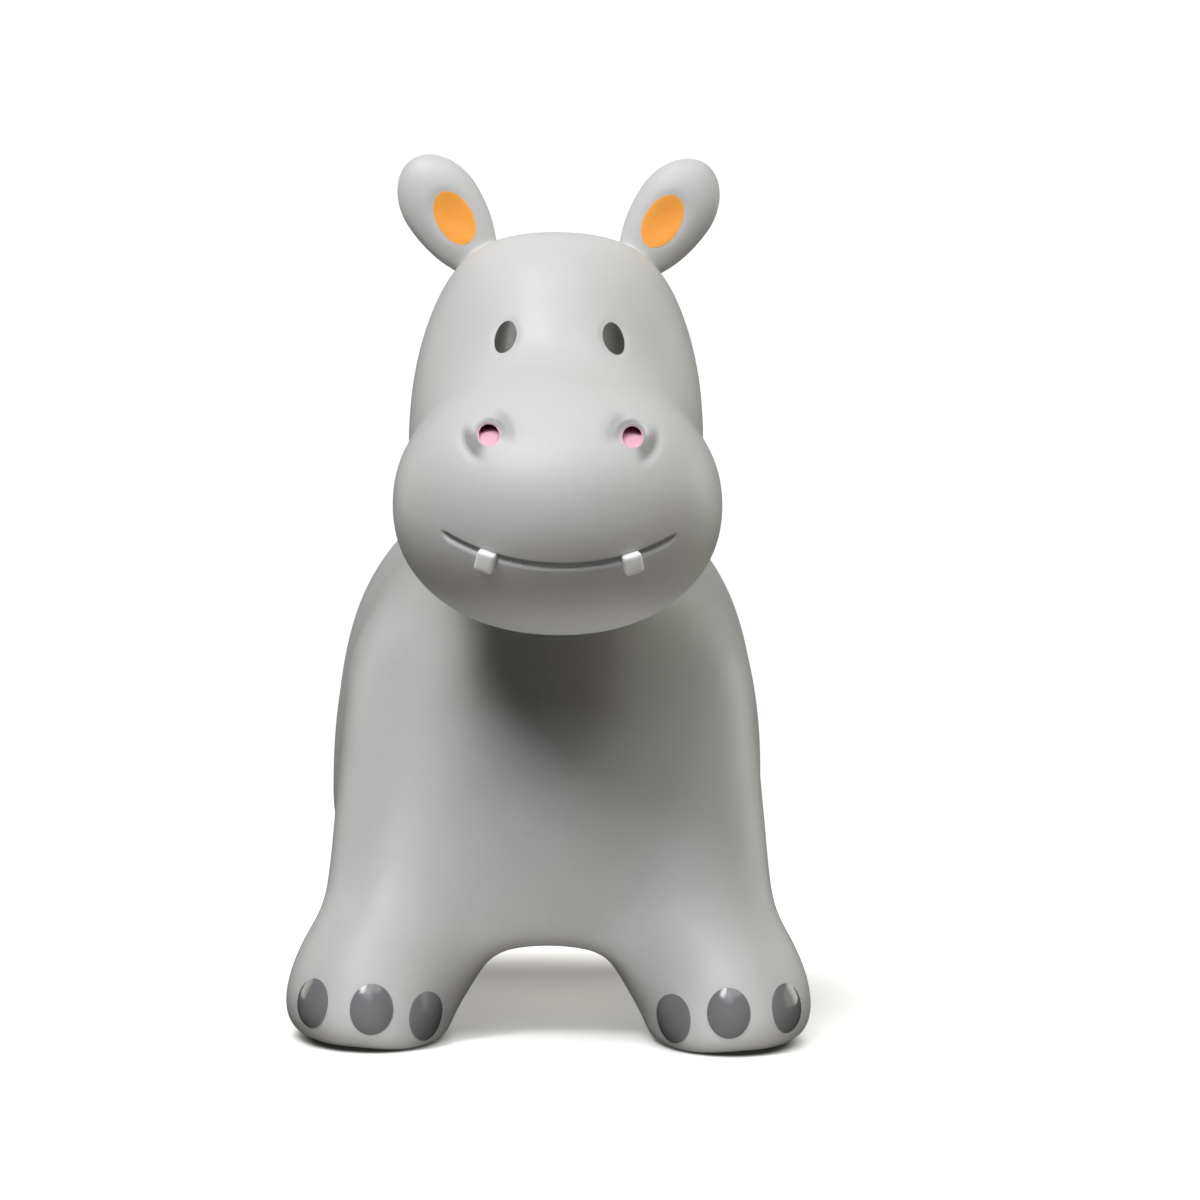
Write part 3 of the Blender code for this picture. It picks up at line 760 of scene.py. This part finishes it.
# ---------------------------------------------------------------- finishes
def finish_nodes(name, colour, second, rough, spread, grain, grain_deep, mottle, specular=0.5, wear=0.12):
    """A painted or moulded vinyl: two close tones in soft clouds, fine grain, uneven gloss."""
    m = bpy.data.materials.new(name)
    m.use_nodes = True
    nt = m.node_tree
    shader = nt.nodes["Principled BSDF"]
    shader.inputs["Metallic"].default_value = 0.0
    shader.inputs["Specular IOR Level"].default_value = specular
    where = nt.nodes.new("ShaderNodeTexCoord")

    def noise(scale, detail, roughness=0.5):
        t = nt.nodes.new("ShaderNodeTexNoise")
        t.inputs["Scale"].default_value = scale
        t.inputs["Detail"].default_value = detail
        t.inputs["Roughness"].default_value = roughness
        nt.links.new(where.outputs["Object"], t.inputs["Vector"])
        return t

    clouds = noise(mottle, 3.0)
    specks = noise(grain * 0.35, 2.0, 0.6)
    both = nt.nodes.new("ShaderNodeMath")
    both.operation = "MULTIPLY_ADD"
    both.inputs[1].default_value = 0.35
    nt.links.new(specks.outputs["Fac"], both.inputs[0])
    nt.links.new(clouds.outputs["Fac"], both.inputs[2])
    ramp = nt.nodes.new("ShaderNodeValToRGB")
    ramp.color_ramp.elements[0].position = 0.42
    ramp.color_ramp.elements[0].color = (*second, 1.0)
    ramp.color_ramp.elements[1].position = 0.90
    ramp.color_ramp.elements[1].color = (*colour, 1.0)
    nt.links.new(both.outputs[0], ramp.inputs["Fac"])
    # handling rubs what stands out: there the finish is a little lighter and smoother, in patches
    shape = nt.nodes.new("ShaderNodeNewGeometry")
    edge = nt.nodes.new("ShaderNodeMapRange")
    edge.interpolation_type = "SMOOTHSTEP"
    edge.inputs["From Min"].default_value = 0.515
    edge.inputs["From Max"].default_value = 0.60
    nt.links.new(shape.outputs["Pointiness"], edge.inputs["Value"])
    rubbed = nt.nodes.new("ShaderNodeMath")
    rubbed.operation = "MULTIPLY"
    nt.links.new(edge.outputs["Result"], rubbed.inputs[0])
    nt.links.new(noise(mottle * 6.0, 3.0, 0.7).outputs["Fac"], rubbed.inputs[1])
    worn = nt.nodes.new("ShaderNodeMix")
    worn.data_type = "RGBA"
    nt.links.new(rubbed.outputs[0], worn.inputs[0])
    for socket in worn.inputs:
        if socket.type == "RGBA" and socket.name == "A":
            nt.links.new(ramp.outputs["Color"], socket)
        if socket.type == "RGBA" and socket.name == "B":
            socket.default_value = (*[c + (1.0 - c) * wear for c in colour], 1.0)
    # painted shade: darker in the pressed lines, the nostril hollows and the tops of the nostril bores, where shade
    # falls
    inside = nt.nodes.new("ShaderNodeAttribute")
    inside.attribute_name = "painted_shade"
    deep = nt.nodes.new("ShaderNodeMix")
    deep.data_type = "RGBA"
    nt.links.new(inside.outputs["Fac"], deep.inputs[0])
    for socket in deep.inputs:
        if socket.type == "RGBA" and socket.name == "A":
            nt.links.new([o for o in worn.outputs if o.type == "RGBA"][0], socket)
        if socket.type == "RGBA" and socket.name == "B":
            socket.default_value = (*[c * 0.34 for c in second], 1.0)
    nt.links.new([o for o in deep.outputs if o.type == "RGBA"][0], shader.inputs["Base Color"])
    gloss = noise(mottle * 2.7, 4.0, 0.6)
    span = nt.nodes.new("ShaderNodeMapRange")
    span.inputs["From Min"].default_value = 0.3
    span.inputs["From Max"].default_value = 0.7
    span.inputs["To Min"].default_value = rough - spread
    span.inputs["To Max"].default_value = rough + spread
    nt.links.new(gloss.outputs["Fac"], span.inputs["Value"])
    polish = nt.nodes.new("ShaderNodeMath")
    polish.operation = "MULTIPLY_ADD"
    polish.inputs[1].default_value = -0.16
    nt.links.new(rubbed.outputs[0], polish.inputs[0])
    nt.links.new(span.outputs["Result"], polish.inputs[2])
    nt.links.new(polish.outputs[0], shader.inputs["Roughness"])
    fine = noise(grain, 3.0, 0.65)
    bump = nt.nodes.new("ShaderNodeBump")
    bump.inputs["Strength"].default_value = 0.35
    bump.inputs["Distance"].default_value = grain_deep
    nt.links.new(fine.outputs["Fac"], bump.inputs["Height"])
    nt.links.new(bump.outputs["Normal"], shader.inputs["Normal"])
    return m


FINISH = {
    "skin": finish_nodes("skin_vinyl", (0.563, 0.565, 0.556), (0.522, 0.523, 0.513), 0.50, 0.06, 900.0, 0.00012, 14.0, specular=0.42, wear=0.10),
    "inner_ear": finish_nodes("inner_ear_paint", (1.0, 0.430, 0.072), (0.98, 0.360, 0.050), 0.45, 0.07, 1100.0, 0.00010, 60.0),
    "eye": finish_nodes("eye_paint", (0.056, 0.057, 0.049), (0.040, 0.041, 0.036), 0.42, 0.05, 1300.0, 0.00004, 110.0, specular=0.4, wear=0.05),
    "nostril": finish_nodes("nostril_paint", (0.83, 0.480, 0.580), (0.78, 0.420, 0.520), 0.42, 0.06, 1200.0, 0.00008, 120.0),
    "tooth": finish_nodes("tooth_paint", (0.84, 0.845, 0.835), (0.77, 0.775, 0.762), 0.30, 0.06, 1200.0, 0.00006, 110.0),
    "toenail": finish_nodes("toenail_paint", (0.184, 0.185, 0.189), (0.166, 0.167, 0.171), 0.17, 0.03, 1200.0, 0.00004, 60.0, wear=0.05),
    "valve": finish_nodes("valve_vinyl", (0.78, 0.78, 0.76), (0.71, 0.71, 0.69), 0.42, 0.06, 1000.0, 0.00008, 80.0),
}


def dress(ob, slot):
    ob.data.materials.clear()
    ob.data.materials.append(FINISH[slot])


dress(skin, "skin")
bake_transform(skin)
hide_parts("lower_body_skin", "flank_skin", "upper_body_skin", "head_skin")
for name, (slot, body, node, ob) in made.items():
    dress(ob, slot)
    if body.endswith("_ear"):
        sx = 1 if body.startswith("left") else -1
        up = np.array([sx * ear_up[0], ear_up[1], ear_up[2]])
        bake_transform(ob)
    else:
        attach(ob, body)
    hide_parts(node)
for node in ("valve_seat", "valve_plug"):
    dress(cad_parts[node], "valve")

# ---------------------------------------------------------------- camera
CAM = dict(turn=-0.9, away=2.4, height=0.42, lens=121.1, roll=0.88, aim=(0.0292, 0.0, 0.2403))
a = math.radians(CAM["turn"])
eye = Vector((math.sin(a) * CAM["away"], -math.cos(a) * CAM["away"], CAM["height"]))
ahead = (Vector(CAM["aim"]) - eye).normalized()
right = ahead.cross(Vector((0, 0, 1))).normalized()
up = right.cross(ahead)
r = math.radians(CAM["roll"])
right, up = right * math.cos(r) + up * math.sin(r), -right * math.sin(r) + up * math.cos(r)
lens = bpy.data.cameras.new("camera")
lens.lens = CAM["lens"]
lens.sensor_width = 36.0
lens.clip_start, lens.clip_end = 0.05, 60.0
camera = bpy.data.objects.new("camera", lens)
camera.matrix_world = Matrix((right, up, -ahead)).transposed().to_4x4()
camera.location = eye
bpy.context.scene.collection.objects.link(camera)
bpy.context.scene.camera = camera

# ---------------------------------------------------------------- floor and light
bm = bmesh.new()
bmesh.ops.create_grid(bm, x_segments=24, y_segments=24, size=4.0)
floor_mesh = bpy.data.meshes.new("floor")
bm.to_mesh(floor_mesh)
bm.free()
floor = piece("floor", floor_mesh)
floor_white = finish_nodes("floor_white", (0.90, 0.90, 0.895), (0.88, 0.88, 0.875), 0.75, 0.05, 300.0, 0.00005, 3.0, specular=0.2)
floor.data.materials.append(floor_white)
# the floor is lit and takes shadows; the light that the studio throws back up is in the world
floor.visible_diffuse = False
floor.visible_glossy = False
FLOOR_GLOW = (0.25, 0.72)
# painted light: the floor also glows a little by itself, more further out and behind the feet, which lifts its shadow
# under the belly, except where the feet stand on it; further out it turns into the plain white of a studio sweep
ft = floor_white.node_tree


def floor_node(kind, operation=None, **values):
    n = ft.nodes.new(kind)
    if operation:
        n.operation = operation
    for key, value in values.items():
        n.inputs[int(key[1:]) if key[0] == "i" and key[1:].isdigit() else key.replace("_", " ")].default_value = value
    return n


def ramp_of(source, start, end, low=0.0, high=1.0):
    n = floor_node("ShaderNodeMapRange", From_Min=start, From_Max=end, To_Min=low, To_Max=high)
    n.interpolation_type = "SMOOTHSTEP"
    ft.links.new(source, n.inputs["Value"])
    return n.outputs["Result"]


spot_at = floor_node("ShaderNodeTexCoord")
fold = floor_node("ShaderNodeVectorMath", "ABSOLUTE")
ft.links.new(spot_at.outputs["Object"], fold.inputs[0])
across = floor_node("ShaderNodeSeparateXYZ")
ft.links.new(fold.outputs[0], across.inputs[0])
along = floor_node("ShaderNodeSeparateXYZ")
ft.links.new(spot_at.outputs["Object"], along.inputs[0])
half = floor_node("ShaderNodeCombineXYZ")
ft.links.new(across.outputs["X"], half.inputs["X"])
ft.links.new(along.outputs["Y"], half.inputs["Y"])
clear = painted_shade_amount = None
# round each foot: where the floor's glow stops, and where a contact shadow is painted
for foot, wide, long in ((FRONT_FOOT, 0.0365, 0.050), (REAR_FOOT, 0.0290, 0.046)):
    shift = floor_node("ShaderNodeVectorMath", "SUBTRACT", i1=(foot[0][0] - 0.003, foot[0][1], 0.0))
    ft.links.new(half.outputs[0], shift.inputs[0])
    shape = floor_node("ShaderNodeVectorMath", "MULTIPLY", i1=(1.0 / wide, 1.0 / long, 0.0))
    ft.links.new(shift.outputs[0], shape.inputs[0])
    gap = floor_node("ShaderNodeVectorMath", "LENGTH")
    ft.links.new(shape.outputs[0], gap.inputs[0])
    away, contact_shadow = ramp_of(gap.outputs["Value"], 0.95, 1.40), ramp_of(gap.outputs["Value"], 0.90, 1.16)
    if clear is None:
        clear, painted_shade_amount = away, contact_shadow
    else:
        for pair in ("clear", "painted_shade_amount"):
            both = floor_node("ShaderNodeMath", "MULTIPLY")
            ft.links.new(clear if pair == "clear" else painted_shade_amount, both.inputs[0])
            ft.links.new(away if pair == "clear" else contact_shadow, both.inputs[1])
            if pair == "clear":
                clear = both.outputs[0]
            else:
                painted_shade_amount = both.outputs[0]
# painted shadow: the floor's colour turns nearly black close round each foot
pale = ft.nodes["Principled BSDF"].inputs["Base Color"]
tint = floor_node("ShaderNodeMix")
tint.data_type = "RGBA"
for socket in tint.inputs:
    if socket.type == "RGBA" and socket.name == "A":
        socket.default_value = (0.10, 0.10, 0.09, 1.0)
    if socket.type == "RGBA" and socket.name == "B":
        ft.links.new(pale.links[0].from_socket, socket)
ft.links.new(painted_shade_amount, tint.inputs[0])
ft.links.new([o for o in tint.outputs if o.type == "RGBA"][0], pale)
reach = floor_node("ShaderNodeVectorMath", "LENGTH")
ft.links.new(spot_at.outputs["Object"], reach.inputs[0])
# painted light: how strongly the floor glows, cut away round the feet
painted_floor_light = floor_node("ShaderNodeMath", "MULTIPLY")
ft.links.new(clear, painted_floor_light.inputs[0])
behind = floor_node("ShaderNodeMath", "ADD")
ft.links.new(ramp_of(reach.outputs["Value"], 0.12, 0.26, FLOOR_GLOW[0], FLOOR_GLOW[1]), behind.inputs[0])
ft.links.new(ramp_of(along.outputs["Y"], 0.09, 0.19, 0.0, 0.50), behind.inputs[1])
ft.links.new(behind.outputs[0], painted_floor_light.inputs[1])
ft.nodes["Principled BSDF"].inputs["Emission Color"].default_value = (1.0, 0.985, 0.945, 1.0)
ft.links.new(painted_floor_light.outputs[0], ft.nodes["Principled BSDF"].inputs["Emission Strength"])
glow = floor_node("ShaderNodeEmission", Strength=1.05)
sweep = floor_node("ShaderNodeMixShader")
ft.links.new(ramp_of(reach.outputs["Value"], 0.27, 0.56), sweep.inputs["Fac"])
ft.links.new(ft.nodes["Principled BSDF"].outputs[0], sweep.inputs[1])
ft.links.new(glow.outputs[0], sweep.inputs[2])
ft.links.new(sweep.outputs[0], ft.nodes["Material Output"].inputs["Surface"])

# name, azimuth (0 is the front, positive to the animal's left), elevation, size, watts, tint
LIGHTS = (
    ("key", -35.0, 45.0, 0.5, 11.82, (1.00, 1.00, 1.00)),
    ("key_up", -35.0, 58.0, 0.5, 11.11, (0.99, 1.02, 0.99)),
    ("key_inner", -15.0, 55.0, 1.0, 9.87, (1.00, 0.96, 1.04)),
    ("front", -6.0, 40.0, 1.0, 6.62, (0.95, 0.98, 1.07)),
    ("right", 35.0, 55.0, 1.0, 9.30, (1.02, 1.02, 0.96)),
    ("low_right", 90.0, 10.0, 1.0, 4.25, (1.12, 1.01, 0.87)),
    ("side_left", -120.0, 10.0, 1.0, 7.40, (1.03, 1.02, 0.95)),
    ("side_right", 120.0, 10.0, 1.0, 10.12, (0.98, 1.04, 0.98)),
    ("back", 180.0, 40.0, 1.2, 5.00, (1.00, 1.00, 1.00)),
)
for name, az, el, size, watts, tint in LIGHTS:
    lamp = bpy.data.lights.new(name, "AREA")
    lamp.shape = "RECTANGLE"
    lamp.size, lamp.size_y = size, size
    lamp.energy = watts
    lamp.color = tint
    ob = bpy.data.objects.new(name, lamp)
    ca, ce = math.radians(az), math.radians(el)
    way = Vector((math.sin(ca) * math.cos(ce), -math.cos(ca) * math.cos(ce), math.sin(ce)))
    ob.location = Vector((0, -0.05, 0.25)) + way * 2.0
    ob.rotation_mode = "QUATERNION"
    ob.rotation_quaternion = (-way).to_track_quat("-Z", "Y")
    bpy.context.scene.collection.objects.link(ob)

# two small white cards on the floor, just ahead of the feet
for name, sx in (("foot_card_left", 1), ("foot_card_right", -1)):
    lamp = bpy.data.lights.new(name, "AREA")
    lamp.shape = "RECTANGLE"
    lamp.size, lamp.size_y = 0.14, 0.06
    lamp.energy = 0.033
    ob = bpy.data.objects.new(name, lamp)
    ob.location = (sx * 0.106, -0.238, 0.003)
    ob.rotation_mode = "QUATERNION"
    ob.rotation_quaternion = Vector((0.0, 0.75, 0.66)).to_track_quat("-Z", "Y")
    ob.visible_camera = False
    ob.visible_glossy = False
    bpy.context.scene.collection.objects.link(ob)

# what the lit chest throws back up under the chin
lamp = bpy.data.lights.new("chin_card", "AREA")
lamp.shape = "RECTANGLE"
lamp.size, lamp.size_y = 0.16, 0.03
lamp.energy = 0.055
ob = bpy.data.objects.new("chin_card", lamp)
ob.location = (0.040, -0.175, 0.150)
ob.rotation_mode = "QUATERNION"
ob.rotation_quaternion = Vector((0.0, -0.92, 0.39)).to_track_quat("-Z", "Y")
ob.visible_camera = False
ob.visible_glossy = False
bpy.context.scene.collection.objects.link(ob)

world = bpy.data.worlds.new("studio")
bpy.context.scene.world = world
world.use_nodes = True
wt = world.node_tree
wt.nodes.clear()


def tone(strength, colour=(1, 1, 1, 1)):
    n = wt.nodes.new("ShaderNodeBackground")
    n.inputs["Color"].default_value = colour
    n.inputs["Strength"].default_value = strength
    return n


def blend_of(fac, a, b):
    n = wt.nodes.new("ShaderNodeMixShader")
    wt.links.new(fac, n.inputs["Fac"])
    wt.links.new(a.outputs[0], n.inputs[1])
    wt.links.new(b.outputs[0], n.inputs[2])
    return n


def window(source, start, end, high=1.0):
    n = wt.nodes.new("ShaderNodeMapRange")
    n.interpolation_type = "SMOOTHSTEP"
    n.inputs["From Min"].default_value = start
    n.inputs["From Max"].default_value = end
    n.inputs["To Max"].default_value = high
    wt.links.new(source, n.inputs["Value"])
    return n.outputs["Result"]


def both_of(a, b):
    n = wt.nodes.new("ShaderNodeMath")
    n.operation = "MULTIPLY"
    wt.links.new(a, n.inputs[0])
    wt.links.new(b, n.inputs[1])
    return n.outputs[0]


# white all round for the camera; the toy itself is lit only by what the floor before it throws back
seen, below = tone(1.05), tone(1.0, (1.06, 1.01, 0.935, 1))
way = wt.nodes.new("ShaderNodeTexCoord")
parts = wt.nodes.new("ShaderNodeSeparateXYZ")
wt.links.new(way.outputs["Generated"], parts.inputs[0])
slant = both_of(window(parts.outputs["Z"], -0.45, -0.65), window(parts.outputs["Z"], -0.95, -0.75))
path = wt.nodes.new("ShaderNodeLightPath")
dull = window(path.outputs["Is Glossy Ray"], 1.0, 0.0, 1.70)
wt.links.new(both_of(both_of(slant, window(parts.outputs["Y"], 0.2, -0.2)), dull), below.inputs["Strength"])
out = wt.nodes.new("ShaderNodeOutputWorld")
wt.links.new(blend_of(path.outputs["Is Camera Ray"], below, seen).outputs[0], out.inputs["Surface"])
bpy.context.scene.view_settings.view_transform = "Standard"
bpy.context.scene.view_settings.look = "None"
